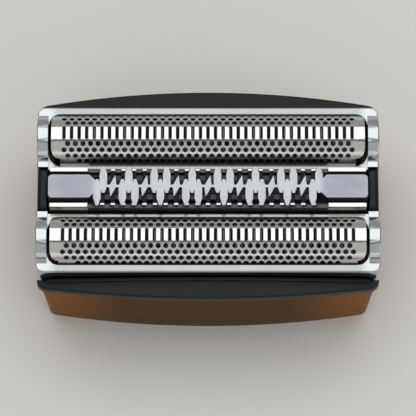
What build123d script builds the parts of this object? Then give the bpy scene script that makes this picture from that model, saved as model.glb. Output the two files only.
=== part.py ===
"""Foil head of an electric shaver: a push-fit cassette with two floating foils and a middle trimmer.

Frame: +X along the head, +Y towards its rear, +Z up to the foils. The origin is the middle of the
base rim, on the surface that the head stands on. All sizes are in millimetres.
"""

import math
import os

from build123d import *

# Overall sizes
HEAD_LENGTH = 52.0  # over the silver end caps
FOIL_CREST_Z = 22.0  # top of the foils above the base rim
FOIL_PITCH = 16.4  # between the two foils' centrelines

# Running clearances
SLIDE_CLEARANCE = 0.1  # between a sliding piece and its guide
FRAME_CLEARANCE = 0.2  # between a foil frame and the opening that it floats in
CUT_CLEARANCE = 0.13  # between a blade's edge and the foil
SEAT_CLEARANCE = 0.05  # between a spring or a fork and what it touches

# Travel
FOIL_TRAVEL = 1.5  # how far a foil unit is pressed down
TRIMMER_TRAVEL = 1.3  # how far the trimmer is pressed down
STROKE = 1.2  # how far a cutter oscillates to each side

# Foils and their frames
FOIL_RADIUS = 4.0  # outside of the arch
FOIL_THICKNESS = 0.12
FOIL_END_GAP = 0.5  # slit between the foil and the end cap
FOIL_LEG = 3.8  # straight leg below the arch
OUTER_RAIL = 1.1  # thickness of a frame's rail on the outside of the head
INNER_RAIL = 0.6  # and beside the trimmer
RAIL_RISE = 1.4  # outer rail's top above the arch's axis
INNER_RAIL_RISE = 0.2  # and the inner rail's
RAIL_DEPTH = 5.4  # rail bottom below the arch's axis
CAP_THICKNESS = 1.7
CAP_EDGE_CHAMFER = 0.45
CAP_SKIRT = 1.9  # skirt of the end cap, outside the housing's end wall
CAP_SKIRT_THICKNESS = 0.5
HOOK_LENGTH = 1.6  # tabs on the rails that hook through the foil's legs
HOOK_HEIGHT = 0.8
HOOK_REACH = 0.3
HOOK_DROP = 2.2  # hook centre below the arch's axis
HOOK_X = 15.0
STOP_FLANGE = 0.5  # flange that stops a frame under the bezel
STOP_FLANGE_HEIGHT = 0.8
STOP_FLANGE_LENGTH = 28.0

# Perforation of the foils: staggered rows of slots
SLOT_LENGTH = 2.8  # along the head
SLOT_WIDTH = 1.0  # across the arch
SLOT_PITCH = 4.0
SLOT_ROWS = 5
SLOT_ROW_ANGLE = 22.5
FOIL_BORDER = 2.0  # plain strip at each end of the foil

# Cutters
BLADE_THICKNESS = 0.3
BLADE_COUNT = 12
BLADE_END_MARGIN = 2.5
BLADE_SEAT_RISE = 0.8  # seat of the blades above the arch's axis
CARRIER_HALF_WIDTH = 3.2
CARRIER_FOOT_HALF_WIDTH = 2.6
CARRIER_FOOT_HEIGHT = 2.4
CARRIER_END_MARGIN = 0.6

# Drive bridges
SOCKET_DEPTH = 5.4  # clear depth under the drive sockets
DRIVE_BORE_RADIUS = 1.6
DRIVE_BORE_DEPTH = 3.6
DRIVE_BORE_ROOF = 0.6
BOSS_LENGTH = 6.0
BOSS_WIDTH = 4.8
BOSS_DROP = 1.6  # boss below the deck
BRIDGE_LENGTH = 18.0
BRIDGE_WIDTH = 6.4
BRIDGE_THICKNESS = 1.1
POST_RADIUS = 0.9
POST_X = 6.6
CUTTER_SPRING_GAP = 2.2  # between bridge and carrier
CUTTER_SPRING_SPAN = 10.0
CUTTER_SPRING_WIDTH = 3.0

# Leaf springs
LEAF_THICKNESS = 0.2
LEAF_CROWN_SHARE = 0.3  # flat crown's share of the span
FOIL_SPRING_SPAN = 30.0
FOIL_SPRING_WIDTH = 1.0
TRIMMER_SPRING_SPAN = 13.0
TRIMMER_SPRING_WIDTH = 2.0
SPRING_END_GAP = 1.2  # between a trimmer spring and the housing's end wall

# Lower housing
WALL = 1.3
DECK_THICKNESS = 1.2
DRAFT_ANGLE = 3.0
CORNER_RADIUS = 1.2
LATCH_WIDTH = 9.0
LATCH_HEIGHT = 2.6
LATCH_Z = 2.4

# Bezel aprons and end posts
BEZEL_DROP = 4.8  # top of the aprons below the foils' crest
BEZEL_END_INSET = 0.1  # end caps stand proud of the bezel
BEZEL_SHELF = 1.2  # ledge beside the opening, at the head's ends
BEZEL_BOW = 2.0  # bulge of the long sides in plan
BEZEL_CROWN = 1.0  # drop of the aprons towards the ends
BEZEL_LIP = 1.6  # height of the outer lip
BEZEL_EDGE_CHAMFER = 0.6
LIP_OVERHANG = 0.3  # lip over the lower housing's wall
RIM_WIDTH = 0.5  # raised rim beside the opening
RIM_HEIGHT = 0.4
POST_THICKNESS = 1.5  # end posts beside the trimmer
POST_FOOT = 2.0  # how far an end post is set into the end wall
GUIDE_WALL = 0.7  # guide walls below the aprons
GUIDE_WALL_LENGTH = 30.0
POST_DROP = 1.4  # top of the end posts below the trimmer's guard
POST_CORNER_RADIUS = 0.8
TONGUE_X = 7.0  # tongues that locate the bezel in the lower housing
TONGUE_WIDTH = 4.0
TONGUE_THICKNESS = 0.6
TONGUE_LENGTH = 2.0

# Middle trimmer
TRIMMER_DROP = 1.2  # top of the guard below the foils' crest
TRIMMER_SIDE_GAP = 0.4  # between the trimmer's side rails and the foil frames
FINGER_GAP = 0.5  # between the guard's finger tips and the foil frames
GUARD_THICKNESS = 0.3
GUARD_PLATE_LENGTH = 7.1
GUARD_PLATE_INSET = 0.65  # plate's edge inside the channel's outer wall
GUARD_PLATE_CHAMFER = 0.9
GUARD_PLATE_END_CHAMFER = 0.4
GUARD_END_GAP = 0.2
SPINE_HALF_WIDTH = 0.2
FINGER_GROUP_PITCH = 4.8
FINGER_PITCH = 0.95
FINGER_WIDTH = 1.15
FINGER_TIP_WIDTH = 0.4
FINGER_ROOT = 0.9  # how far a finger starts beyond the spine's far side
CENTRE_FINGER_SHARE = 0.56  # a short finger's length as a share of a long one's reach
CENTRE_FINGER_LEAN = 0.35
BLADE_COMB_THICKNESS = 0.3
BLADE_COMB_GAP = 0.15  # air between guard and moving comb
COMB_TOOTH_PITCH = 1.6
COMB_TOOTH_WIDTH = 0.7
COMB_SPINE_HALF_WIDTH = 1.0
COMB_TIP_INSET = 0.2  # moving teeth end inside the guard's finger tips
TRIMMER_FLOOR = 1.0
TRIMMER_FLOOR_DEPTH = 3.3  # channel floor below the guard
CHANNEL_WALL = 0.5
CHANNEL_WALL_HEIGHT = 1.9
END_BLOCK_LENGTH = 6.0
SIDE_RAIL_THICKNESS = 0.7
SIDE_RAIL_DROP = 1.1  # rail top below the guard's top, along the comb
SIDE_RAIL_END_DROP = 0.5  # and beside the end plates
SIDE_RAIL_HEIGHT = 2.6
SPRING_LEG_LENGTH = 2.0
SPRING_LEG_WIDTH = 2.4
GUIDE_TONGUE_WIDTH = 2.0
GUIDE_TONGUE_DEPTH = 0.5
GUIDE_TONGUE_HEIGHT = 1.8
FORK_PIN_HALF_LENGTH = 1.0
FORK_PIN_HALF_WIDTH = 0.7
FORK_PIN_HEIGHT = 2.6
FORK_PRONG = 1.2
FORK_ENGAGEMENT = 2.1

# Places that follow from the sizes
half_length = HEAD_LENGTH / 2
foil_y = FOIL_PITCH / 2
foil_axis_z = FOIL_CREST_Z - FOIL_RADIUS
outer_reach = FOIL_RADIUS + OUTER_RAIL
inner_reach = FOIL_RADIUS + INNER_RAIL
cap_inner_x = half_length - CAP_THICKNESS
foil_half_length = cap_inner_x - FOIL_END_GAP
rail_top_z = foil_axis_z + RAIL_RISE
inner_rail_top_z = foil_axis_z + INNER_RAIL_RISE
rail_bottom_z = foil_axis_z - RAIL_DEPTH
opening_y = foil_y + outer_reach + FRAME_CLEARANCE
frame_gap_y = foil_y - inner_reach
bezel_half_length = half_length - BEZEL_END_INSET
bezel_half_width = opening_y + BEZEL_SHELF
post_inner_x = bezel_half_length - POST_THICKNESS
bezel_top_z = FOIL_CREST_Z - BEZEL_DROP
parting_z = bezel_top_z - BEZEL_LIP
channel_bottom_z = rail_bottom_z - FOIL_TRAVEL - FRAME_CLEARANCE
post_foot_z = channel_bottom_z - POST_FOOT
post_half_width = frame_gap_y - FRAME_CLEARANCE

deck_bottom_z = SOCKET_DEPTH + BOSS_DROP
deck_top_z = deck_bottom_z + DECK_THICKNESS
draft = math.tan(math.radians(DRAFT_ANGLE))
socket_inset = LIP_OVERHANG + WALL + draft * bezel_top_z
well_inset = LIP_OVERHANG + WALL + draft * (bezel_top_z - deck_top_z)
well_x = bezel_half_length - well_inset
well_y = bezel_half_width - well_inset
trimmer_spring_x = well_x - SPRING_END_GAP - TRIMMER_SPRING_SPAN / 2
bridge_bottom_z = deck_top_z + SLIDE_CLEARANCE
bridge_top_z = bridge_bottom_z + BRIDGE_THICKNESS
carrier_bottom_z = bridge_top_z + CUTTER_SPRING_GAP
blade_seat_z = foil_axis_z + BLADE_SEAT_RISE
blade_radius = FOIL_RADIUS - FOIL_THICKNESS - CUT_CLEARANCE
cutter_half_length = cap_inner_x - STROKE - CARRIER_END_MARGIN
blade_stack_length = 2 * (cutter_half_length - BLADE_END_MARGIN)

trimmer_top_z = FOIL_CREST_Z - TRIMMER_DROP
trimmer_half_width = frame_gap_y - TRIMMER_SIDE_GAP - SIDE_RAIL_THICKNESS
finger_reach = frame_gap_y - FINGER_GAP
guard_plate_y = trimmer_half_width - GUARD_PLATE_INSET
guard_bottom_z = trimmer_top_z - GUARD_THICKNESS
trimmer_half_length = post_inner_x - GUARD_END_GAP
guard_comb_x = trimmer_half_length - GUARD_PLATE_LENGTH
end_block_x = trimmer_half_length - END_BLOCK_LENGTH
comb_top_z = guard_bottom_z - BLADE_COMB_GAP
comb_bottom_z = comb_top_z - BLADE_COMB_THICKNESS
comb_half_length = end_block_x - STROKE - FRAME_CLEARANCE
trimmer_floor_z = guard_bottom_z - TRIMMER_FLOOR_DEPTH
trimmer_bottom_z = trimmer_floor_z - TRIMMER_FLOOR
fork_outer_x = FORK_PIN_HALF_LENGTH + SEAT_CLEARANCE + FORK_PRONG
pin_top_z = bridge_top_z + FORK_PIN_HEIGHT
spring_leg_bottom_z = rail_bottom_z

FRONT, REAR = -1, 1


def block(x, y, z):
    """A box given by its (low, high) limits along each axis."""
    size = [high - low for low, high in (x, y, z)]
    middle = [(low + high) / 2 for low, high in (x, y, z)]
    return Pos(*middle) * Box(*size)


def mirrored_x(part):
    """The part and its mirror image across the middle of the head."""
    return part + mirror(part, Plane.YZ)


def placed(unit, side):
    """A foil unit's piece, made about its own centreline, turned to the front or the rear of the head."""
    turn = 180 if side == REAR else 0
    return Pos(0, side * foil_y, 0) * Rot(0, 0, turn) * unit


def bowed_outline(half_x, half_y):
    """Plan outline with straight ends and long sides that bulge outwards."""
    corners = [(-half_x, -half_y), (half_x, -half_y), (half_x, half_y), (-half_x, half_y)]
    return make_face(
        [
            ThreePointArc(corners[0], (0, -half_y - BEZEL_BOW), corners[1]),
            Line(corners[1], corners[2]),
            ThreePointArc(corners[2], (0, half_y + BEZEL_BOW), corners[3]),
            Line(corners[3], corners[0]),
        ]
    )


def rounded_outline(half_x, half_y):
    """The bowed plan outline with its corners rounded, for the outer walls."""
    outline = bowed_outline(half_x, half_y)
    return fillet(outline.vertices(), CORNER_RADIUS)


def under_crown(top_z):
    """Everything below a crowned surface that is top_z high at the middle and falls towards the ends."""
    radius = (bezel_half_length**2 + BEZEL_CROWN**2) / (2 * BEZEL_CROWN)
    reach = HEAD_LENGTH
    side_z = top_z - radius + math.sqrt(radius**2 - reach**2)
    left, right = (-reach, side_z), (reach, side_z)
    profile = make_face(
        [
            ThreePointArc(left, (0, top_z), right),
            Polyline(right, (reach, -reach), (-reach, -reach), left),
        ]
    )
    return extrude(Plane.XZ * profile, reach, both=True)


def arch_profile(radius, foot_z):
    """Arch in the YZ plane: a half circle about the foil's axis on two straight legs."""
    left, right = (-radius, foil_axis_z), (radius, foil_axis_z)
    return Plane.YZ * make_face(
        [
            ThreePointArc(left, (0, foil_axis_z + radius), right),
            Polyline(right, (radius, foot_z), (-radius, foot_z), left),
        ]
    )


def leaf_spring(span, rise, width):
    """Strip along X, bent to two legs and a flat crown, with its feet at Z 0."""
    foot_x, crown_x = span / 2, span * LEAF_CROWN_SHARE / 2
    slope = math.atan2(rise, foot_x - crown_x)
    half_strip = [
        (foot_x - LEAF_THICKNESS / math.sin(slope), 0),
        (foot_x, 0),
        (crown_x, rise),
    ]
    other_half = [(-x, z) for x, z in reversed(half_strip)]
    inner_crown_x = crown_x - LEAF_THICKNESS * math.tan(slope / 2)
    inner_crown_z = rise - LEAF_THICKNESS
    under_crown_line = [(-inner_crown_x, inner_crown_z), (inner_crown_x, inner_crown_z)]
    strip = make_face(Polyline(*half_strip, *other_half, *under_crown_line, close=True))
    return extrude(Plane.XZ * strip, width / 2, both=True)


def foil_channels(bottom_z, clearance):
    """The space from end to end that the two foil frames float in."""
    channels = Part()
    near_y, far_y = frame_gap_y - clearance, foil_y + outer_reach + clearance
    for side in (FRONT, REAR):
        inner, outer = sorted((side * near_y, side * far_y))
        channels += block((-HEAD_LENGTH, HEAD_LENGTH), (inner, outer), (bottom_z, 2 * FOIL_CREST_Z))
    return channels


# Lower housing: tapered skirt, open below for the shaver's neck, with a deck across the middle
def lower_housing():
    half_x = bezel_half_length - LIP_OVERHANG
    half_y = bezel_half_width - LIP_OVERHANG

    top = Pos(0, 0, bezel_top_z) * rounded_outline(half_x, half_y)
    skirt = extrude(top, bezel_top_z, dir=(0, 0, -1), taper=DRAFT_ANGLE)
    right_half = block((0, HEAD_LENGTH), (-HEAD_LENGTH, HEAD_LENGTH), (0, FOIL_CREST_Z))
    shell = mirrored_x(skirt & right_half) & under_crown(parting_z)
    socket = bowed_outline(bezel_half_length - socket_inset, bezel_half_width - socket_inset)
    shell -= extrude(socket, deck_bottom_z)
    shell -= Pos(0, 0, deck_top_z) * extrude(bowed_outline(well_x, well_y), FOIL_CREST_Z)
    end_gap = block((well_x, HEAD_LENGTH), (-opening_y, opening_y), (channel_bottom_z, FOIL_CREST_Z))
    post_seat = block(
        (post_inner_x, HEAD_LENGTH), (-post_half_width, post_half_width), (post_foot_z, FOIL_CREST_Z)
    )
    shell -= mirrored_x(end_gap + post_seat) + foil_channels(channel_bottom_z, FRAME_CLEARANCE)

    window_x = BOSS_LENGTH / 2 + STROKE + FRAME_CLEARANCE
    window_y = BOSS_WIDTH / 2 + SLIDE_CLEARANCE
    for side in (FRONT, REAR):
        shell -= block(
            (-window_x, window_x),
            (side * foil_y - window_y, side * foil_y + window_y),
            (0, FOIL_CREST_Z),
        )
    return shell - block(
        (-HEAD_LENGTH, HEAD_LENGTH),
        (-LATCH_WIDTH / 2, LATCH_WIDTH / 2),
        (LATCH_Z, LATCH_Z + LATCH_HEIGHT),
    )


# Bezel aprons: crowned ledges along both sides, with a soft edge, a raised rim, guide walls and tongues
def bezel_aprons():
    body = extrude(rounded_outline(bezel_half_length, bezel_half_width), FOIL_CREST_Z)
    body = body & under_crown(bezel_top_z)
    body = chamfer(body.faces().sort_by(Axis.Z)[-1].edges(), BEZEL_EDGE_CHAMFER)
    ledges = body - under_crown(parting_z)

    guide_x = GUIDE_WALL_LENGTH / 2
    guide_bottom_z = rail_bottom_z + STOP_FLANGE_HEIGHT + SLIDE_CLEARANCE
    hanger_top_z = bezel_top_z - BEZEL_CROWN
    fit_x, fit_y = well_x - SLIDE_CLEARANCE, well_y - SLIDE_CLEARANCE
    fit = extrude(bowed_outline(fit_x, fit_y), hanger_top_z)
    core = extrude(bowed_outline(fit_x - TONGUE_THICKNESS, fit_y - TONGUE_THICKNESS), hanger_top_z)
    aprons = []
    for side in (FRONT, REAR):
        inner, outer = sorted((side * opening_y, side * HEAD_LENGTH))
        half = block((-HEAD_LENGTH, HEAD_LENGTH), (inner, outer), (0, 2 * FOIL_CREST_Z))
        inner, outer = sorted((side * opening_y, side * (opening_y + RIM_WIDTH)))
        rim = block((-post_inner_x, post_inner_x), (inner, outer), (parting_z, bezel_top_z + RIM_HEIGHT))
        inner, outer = sorted((side * opening_y, side * (opening_y + GUIDE_WALL)))
        hangers = block((-guide_x, guide_x), (inner, outer), (guide_bottom_z, hanger_top_z))
        for x in (-TONGUE_X, TONGUE_X):
            tongue_x = (x - TONGUE_WIDTH / 2, x + TONGUE_WIDTH / 2)
            tongue_z = (parting_z - TONGUE_LENGTH, hanger_top_z)
            tongue = block(tongue_x, (-HEAD_LENGTH, HEAD_LENGTH), tongue_z)
            hangers += (tongue - core) & half
        aprons.append((ledges & half) + (rim & under_crown(bezel_top_z + RIM_HEIGHT)) + (hangers & fit))
    return aprons


# End posts: guides of the trimmer between the end caps, set into the lower housing's end walls
def end_post():
    post = block(
        (post_inner_x, bezel_half_length),
        (-post_half_width, post_half_width),
        (post_foot_z, trimmer_top_z - POST_DROP),
    )
    post = fillet(post.edges().filter_by(Axis.X).sort_by(Axis.Z)[-2:], POST_CORNER_RADIUS)
    groove_half_width = GUIDE_TONGUE_WIDTH / 2 + SLIDE_CLEARANCE
    groove_bottom_z = trimmer_tongue_top_z() - GUIDE_TONGUE_HEIGHT - TRIMMER_TRAVEL - FRAME_CLEARANCE
    return post - block(
        (0, post_inner_x + GUIDE_TONGUE_DEPTH + SLIDE_CLEARANCE),
        (-groove_half_width, groove_half_width),
        (groove_bottom_z, trimmer_tongue_top_z() + SLIDE_CLEARANCE),
    )


# Foil frame: two rails and two arched end caps, with hooks for the foil and a stop flange outside
def foil_frame():
    frame = Part()
    hook_z = foil_axis_z - HOOK_DROP
    for side, reach, top_z in ((FRONT, outer_reach, rail_top_z), (REAR, inner_reach, inner_rail_top_z)):
        inner, outer = sorted((side * FOIL_RADIUS, side * reach))
        frame += block((-cap_inner_x, cap_inner_x), (inner, outer), (rail_bottom_z, top_z))
        hook_tip = side * (FOIL_RADIUS - FOIL_THICKNESS - HOOK_REACH)
        inner, outer = sorted((hook_tip, side * FOIL_RADIUS))
        for x in (-HOOK_X, HOOK_X):
            frame += block(
                (x - HOOK_LENGTH / 2, x + HOOK_LENGTH / 2),
                (inner, outer),
                (hook_z - HOOK_HEIGHT / 2, hook_z + HOOK_HEIGHT / 2),
            )
    flange_x = STOP_FLANGE_LENGTH / 2
    frame += block(
        (-flange_x, flange_x),
        (-outer_reach - STOP_FLANGE, -outer_reach),
        (rail_bottom_z, rail_bottom_z + STOP_FLANGE_HEIGHT),
    )
    return frame + mirrored_x(end_cap())


def end_cap():
    """Arched cap at the end of the two rails, with a skirt that slides outside the end wall."""
    width = outer_reach + inner_reach
    middle_y = (inner_reach - outer_reach) / 2
    middle_z = (rail_bottom_z + rail_top_z) / 2
    shoulder = Pos(middle_y, middle_z) * Rectangle(width, rail_top_z - rail_bottom_z)
    profile = Plane.YZ * shoulder + arch_profile(FOIL_RADIUS, rail_bottom_z)
    cap = Pos(cap_inner_x, 0, 0) * extrude(profile, CAP_THICKNESS)
    outer_edges = cap.faces().sort_by(Axis.X)[-1].edges().filter_by(lambda e: e.center().Z > middle_z)
    cap = chamfer(outer_edges, CAP_EDGE_CHAMFER)
    return cap + block(
        (half_length - CAP_SKIRT_THICKNESS, half_length),
        (-outer_reach, inner_reach),
        (rail_bottom_z - CAP_SKIRT, rail_bottom_z),
    )


# Foil: a thin arched sheet on two legs, perforated with staggered rows of slots
def foil():
    foot_z = foil_axis_z - FOIL_LEG
    section = arch_profile(FOIL_RADIUS, foot_z) - arch_profile(FOIL_RADIUS - FOIL_THICKNESS, foot_z)
    sheet = extrude(section, foil_half_length, both=True)
    cutter = Box(SLOT_LENGTH, SLOT_WIDTH, FOIL_RADIUS)
    perforated_half = foil_half_length - FOIL_BORDER - SLOT_LENGTH / 2
    steps = int(perforated_half // (SLOT_PITCH / 2))
    slots = []
    for row in range(SLOT_ROWS):
        angle = (row - (SLOT_ROWS - 1) / 2) * SLOT_ROW_ANGLE
        for step in range(-steps + row % 2, steps + 1, 2):
            place = Pos(step * SLOT_PITCH / 2, 0, foil_axis_z) * Rot(angle, 0, 0)
            slots.append(place * Pos(0, 0, FOIL_RADIUS) * cutter)
    hook_z = foil_axis_z - HOOK_DROP
    hook_holes = [
        block(
            (x - HOOK_LENGTH / 2, x + HOOK_LENGTH / 2),
            (-2 * FOIL_RADIUS, 2 * FOIL_RADIUS),
            (hook_z - HOOK_HEIGHT / 2, hook_z + HOOK_HEIGHT / 2),
        )
        for x in (-HOOK_X, HOOK_X)
    ]
    return sheet - (slots + hook_holes)


# Cutter blades: upright lamellae with a round edge, seated side by side on the carrier
def cutter_blades():
    half_width = CARRIER_HALF_WIDTH
    shoulder_z = foil_axis_z + math.sqrt(blade_radius**2 - half_width**2)
    left, right = (-half_width, shoulder_z), (half_width, shoulder_z)
    edge = ThreePointArc(left, (0, foil_axis_z + blade_radius), right)
    foot = Polyline(right, (half_width, blade_seat_z), (-half_width, blade_seat_z), left)
    blade = extrude(Plane.YZ * make_face([edge, foot]), BLADE_THICKNESS / 2, both=True)
    first_x = -blade_stack_length / 2
    pitch = blade_stack_length / (BLADE_COUNT - 1)
    return [Pos(first_x + i * pitch, 0, 0) * blade for i in range(BLADE_COUNT)]


# Cutter carrier: the beam under the blades, guided on the bridge's two posts
def cutter_carrier():
    shoulder_z = carrier_bottom_z + CARRIER_FOOT_HEIGHT
    half_section = [
        (CARRIER_FOOT_HALF_WIDTH, carrier_bottom_z),
        (CARRIER_HALF_WIDTH, shoulder_z),
        (CARRIER_HALF_WIDTH, blade_seat_z),
    ]
    other_half = [(-y, z) for y, z in reversed(half_section)]
    section = make_face(Polyline(*half_section, *other_half, close=True))
    beam = extrude(Plane.YZ * section, cutter_half_length, both=True)
    hole_top_z = post_top_z() + FOIL_TRAVEL + FRAME_CLEARANCE
    hole_depth = hole_top_z - carrier_bottom_z
    for x in (-POST_X, POST_X):
        hole = Cylinder(POST_RADIUS + SLIDE_CLEARANCE, hole_depth)
        beam -= Pos(x, 0, carrier_bottom_z + hole_depth / 2) * hole
    return beam


def post_top_z():
    """Top of the bridge's guide posts: they stay in the carrier at rest."""
    return carrier_bottom_z + CARRIER_FOOT_HEIGHT


# Drive bridge: slider on the deck with the socket for the shaver's drive pin and two guide posts
def drive_bridge(drives_trimmer):
    roof_z = SOCKET_DEPTH + DRIVE_BORE_DEPTH + DRIVE_BORE_ROOF
    flange_x, flange_y = BRIDGE_LENGTH / 2, BRIDGE_WIDTH / 2
    boss_x, boss_y = BOSS_LENGTH / 2, BOSS_WIDTH / 2
    bridge = block((-flange_x, flange_x), (-flange_y, flange_y), (bridge_bottom_z, bridge_top_z))
    bridge += block((-boss_x, boss_x), (-boss_y, boss_y), (SOCKET_DEPTH, roof_z))
    bore = Cylinder(DRIVE_BORE_RADIUS, DRIVE_BORE_DEPTH, align=(Align.CENTER, Align.CENTER, Align.MIN))
    bridge -= Pos(0, 0, SOCKET_DEPTH) * bore
    post_height = post_top_z() - bridge_top_z
    for x in (-POST_X, POST_X):
        bridge += Pos(x, 0, bridge_top_z + post_height / 2) * Cylinder(POST_RADIUS, post_height)
    if drives_trimmer:
        pin_x = (-FORK_PIN_HALF_LENGTH, FORK_PIN_HALF_LENGTH)
        pin_y = (foil_y - FORK_PIN_HALF_WIDTH, foil_y + FORK_PIN_HALF_WIDTH)
        bridge += block(pin_x, (flange_y, pin_y[1]), (bridge_bottom_z, bridge_top_z))
        bridge += block(pin_x, pin_y, (bridge_bottom_z, pin_top_z))
    return bridge


# Leaf springs: under the cutter, under both rails of a foil frame, and under the trimmer's legs
def cutter_spring():
    strip = leaf_spring(CUTTER_SPRING_SPAN, CUTTER_SPRING_GAP - SEAT_CLEARANCE, CUTTER_SPRING_WIDTH)
    return Pos(0, 0, bridge_top_z) * strip


def foil_springs():
    rise = rail_bottom_z - deck_top_z - SEAT_CLEARANCE
    strip = leaf_spring(FOIL_SPRING_SPAN, rise, FOIL_SPRING_WIDTH)
    rail_middles = (-FOIL_RADIUS - OUTER_RAIL / 2, FOIL_RADIUS + INNER_RAIL / 2)
    return [Pos(0, y, deck_top_z) * strip for y in rail_middles]


def trimmer_springs():
    rise = spring_leg_bottom_z - deck_top_z - SEAT_CLEARANCE
    strip = leaf_spring(TRIMMER_SPRING_SPAN, rise, TRIMMER_SPRING_WIDTH)
    return [Pos(x, 0, deck_top_z) * strip for x in (-trimmer_spring_x, trimmer_spring_x)]


# Trimmer guard: stamped plate, a spine with fingers to both sides between two end plates
def finger(x, side):
    """Tapered finger across the spine; side is +1 towards the rear and -1 towards the front."""
    root_y = -side * (SPINE_HALF_WIDTH + FINGER_ROOT)
    shoulder_y = side * (finger_reach - FINGER_WIDTH)
    tip_y = side * finger_reach
    half, tip = FINGER_WIDTH / 2, FINGER_TIP_WIDTH / 2
    return make_face(
        Polyline(
            (x - tip, root_y),
            (x - half, 0),
            (x - half, shoulder_y),
            (x - tip, tip_y),
            (x + tip, tip_y),
            (x + half, shoulder_y),
            (x + half, 0),
            (x + tip, root_y),
            close=True,
        )
    )


def centre_finger(x):
    """Short leaning finger between two groups of long ones."""
    half, lean, end = FINGER_WIDTH / 2, CENTRE_FINGER_LEAN, finger_reach * CENTRE_FINGER_SHARE
    return make_face(
        Polyline((x - lean, -end), (x - half, 0), (x + lean, end), (x + half, 0), close=True)
    )


def guard_fingers():
    """Groups of three long fingers between short ones; turning the comb half round gives it again."""
    groups = int(guard_comb_x // FINGER_GROUP_PITCH) + 1
    faces = [centre_finger(0)]
    for group in range(groups):
        start = group * FINGER_GROUP_PITCH
        side = 1 if group % 2 == 0 else -1
        for i in (-1, 0, 1):
            x = start + FINGER_GROUP_PITCH / 2 + i * FINGER_PITCH
            if x < guard_comb_x - FINGER_PITCH / 4:
                facing = side if i else -side
                faces += [finger(x, facing), finger(-x, -facing)]
        next_short = start + FINGER_GROUP_PITCH
        if next_short < guard_comb_x - FINGER_PITCH:
            faces += [centre_finger(next_short), centre_finger(-next_short)]
    return faces


def trimmer_guard():
    comb = Rectangle(2 * guard_comb_x + GUARD_PLATE_CHAMFER, 2 * SPINE_HALF_WIDTH)
    for face in guard_fingers():
        comb += face
    plate = Rectangle(GUARD_PLATE_LENGTH, 2 * guard_plate_y)
    plate = chamfer(plate.vertices().sort_by(Axis.X)[:2], GUARD_PLATE_CHAMFER)
    plate = chamfer(plate.vertices().sort_by(Axis.X)[-2:], GUARD_PLATE_END_CHAMFER)
    plate = Pos(trimmer_half_length - GUARD_PLATE_LENGTH / 2, 0) * plate
    outline = comb + plate + Rot(0, 0, 180) * plate
    return extrude(Pos(0, 0, guard_bottom_z) * outline, GUARD_THICKNESS)


# Trimmer blade: the moving comb under the guard, with teeth along both sides
def trimmer_blade():
    outline = Rectangle(2 * comb_half_length, 2 * COMB_SPINE_HALF_WIDTH)
    steps = int((comb_half_length - COMB_TOOTH_WIDTH / 2) // COMB_TOOTH_PITCH)
    teeth = [i * COMB_TOOTH_PITCH for i in range(-steps, steps + 1)]
    tooth = Rectangle(COMB_TOOTH_WIDTH, 2 * (finger_reach - COMB_TIP_INSET))
    outline += [Pos(x, 0) * tooth for x in teeth]
    return extrude(Pos(0, 0, comb_bottom_z) * outline, BLADE_COMB_THICKNESS)


# Trimmer slider: carries the moving comb and reaches down with a fork to the front drive bridge
def trimmer_slider():
    half_x = comb_half_length - COMB_TOOTH_PITCH / 2
    half_y = trimmer_half_width - CHANNEL_WALL - SLIDE_CLEARANCE
    bottom_z = trimmer_floor_z + SLIDE_CLEARANCE
    slider = block((-half_x, half_x), (-half_y, half_y), (bottom_z, comb_bottom_z))
    prong_x = (fork_outer_x - FORK_PRONG, fork_outer_x)
    prong_y = (-FORK_PIN_HALF_WIDTH, FORK_PIN_HALF_WIDTH)
    return slider + mirrored_x(block(prong_x, prong_y, (pin_top_z - FORK_ENGAGEMENT, bottom_z)))


# Trimmer frame: channel with end blocks under the guard's plates, spring legs and guide tongues
def trimmer_tongue_top_z():
    return trimmer_floor_z + TRIMMER_FLOOR


def trimmer_frame():
    half_y = trimmer_half_width
    frame = block(
        (-trimmer_half_length, trimmer_half_length),
        (-half_y, half_y),
        (trimmer_bottom_z, trimmer_floor_z),
    )
    window_x = fork_outer_x + STROKE + FRAME_CLEARANCE
    window_y = FORK_PIN_HALF_WIDTH + SLIDE_CLEARANCE
    frame -= block((-window_x, window_x), (-window_y, window_y), (0, FOIL_CREST_Z))
    wall_top_z = trimmer_floor_z + CHANNEL_WALL_HEIGHT
    for side in (FRONT, REAR):
        inner, outer = sorted((side * (half_y - CHANNEL_WALL), side * half_y))
        frame += block((-end_block_x, end_block_x), (inner, outer), (trimmer_floor_z, wall_top_z))
    end = block(
        (end_block_x, trimmer_half_length),
        (-guard_plate_y, guard_plate_y),
        (trimmer_floor_z, guard_bottom_z),
    )
    end += block(
        (trimmer_spring_x - SPRING_LEG_LENGTH / 2, trimmer_spring_x + SPRING_LEG_LENGTH / 2),
        (-SPRING_LEG_WIDTH / 2, SPRING_LEG_WIDTH / 2),
        (spring_leg_bottom_z, trimmer_bottom_z),
    )
    tongue_top_z = trimmer_tongue_top_z()
    end += block(
        (trimmer_half_length, post_inner_x + GUIDE_TONGUE_DEPTH),
        (-GUIDE_TONGUE_WIDTH / 2, GUIDE_TONGUE_WIDTH / 2),
        (tongue_top_z - GUIDE_TONGUE_HEIGHT, tongue_top_z),
    )
    return frame + mirrored_x(end)


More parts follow.
